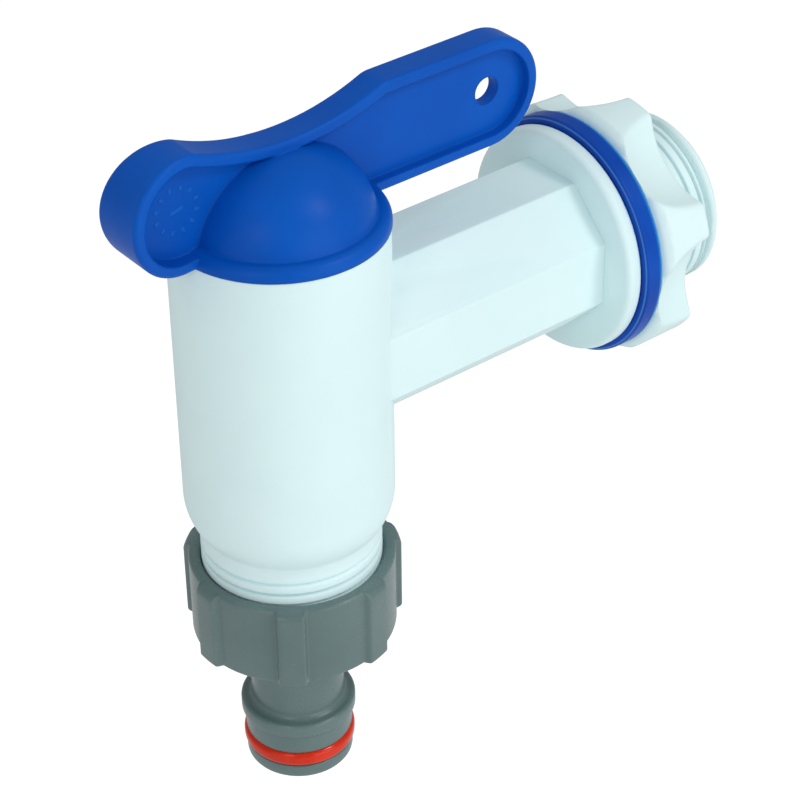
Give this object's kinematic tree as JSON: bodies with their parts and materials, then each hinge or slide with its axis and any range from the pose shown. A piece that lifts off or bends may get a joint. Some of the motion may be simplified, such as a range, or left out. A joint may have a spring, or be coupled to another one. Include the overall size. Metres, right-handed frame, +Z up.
{
  "type": "water butt tap",
  "caption": "Lever tap for a water butt: quarter-turn plug in an upright barrel, octagonal threaded inlet with washer and backnut, and a screwed-on push-fit hose connector.",
  "frame": {"origin": "on the inlet's axis, in the plane of the flange's sealing face", "axes": "+X along the inlet into the water butt, +Z up along the barrel; the lever points along +X when the tap is open and swings towards -Y to close"},
  "size_m": [0.0962, 0.039, 0.1101],
  "materials": {
    "white_plastic": "satin moulded polypropylene, off-white",
    "blue_plastic": "satin moulded polypropylene, mid blue",
    "grey_plastic": "satin moulded ABS, mid grey",
    "blue_rubber": "smooth blue rubber",
    "black_rubber": "smooth black rubber",
    "orange_rubber": "glossy orange-red rubber"
  },
  "bodies": {
    "body": {"tap_body": "white_plastic"},
    "lever": {"lever_plug": "blue_plastic", "upper_plug_seal": "black_rubber", "lower_plug_seal": "black_rubber", "port_seal": "black_rubber"},
    "washer": {"flange_washer": "blue_rubber"},
    "nut": {"backnut": "white_plastic"},
    "connector_seal": {"connector_washer": "black_rubber"},
    "connector": {"hose_connector": "grey_plastic", "connector_o_ring": "orange_rubber"}
  },
  "joints": [
    {"name": "lever_turn", "type": "hinge", "parent": "body", "child": "lever", "pos_m": [-0.0515, 0, 0.02155], "axis": [0, 0, -1], "range_deg": [0, 90]},
    {"name": "backnut_travel", "type": "slide", "parent": "body", "child": "washer", "axis": [1, 0, 0], "range_m": [0, 0.01633]},
    {"name": "backnut_turn", "type": "hinge", "parent": "washer", "child": "nut", "pos_m": [0.0073, 0, 0], "axis": [1, 0, 0], "range_deg": [0, 3240]},
    {"name": "connector_travel", "type": "slide", "parent": "body", "child": "connector_seal", "axis": [0, 0, -1], "range_m": [0, 0.00907]},
    {"name": "connector_turn", "type": "hinge", "parent": "connector_seal", "child": "connector", "pos_m": [-0.0515, 0, -0.0377], "axis": [0, 0, -1], "range_deg": [0, 1800]}
  ],
  "couplings": [
    {"joint": "backnut_travel", "follows": "backnut_turn", "m_per_rad": 0.00028871},
    {"joint": "connector_travel", "follows": "connector_turn", "m_per_rad": 0.00028871}
  ]
}
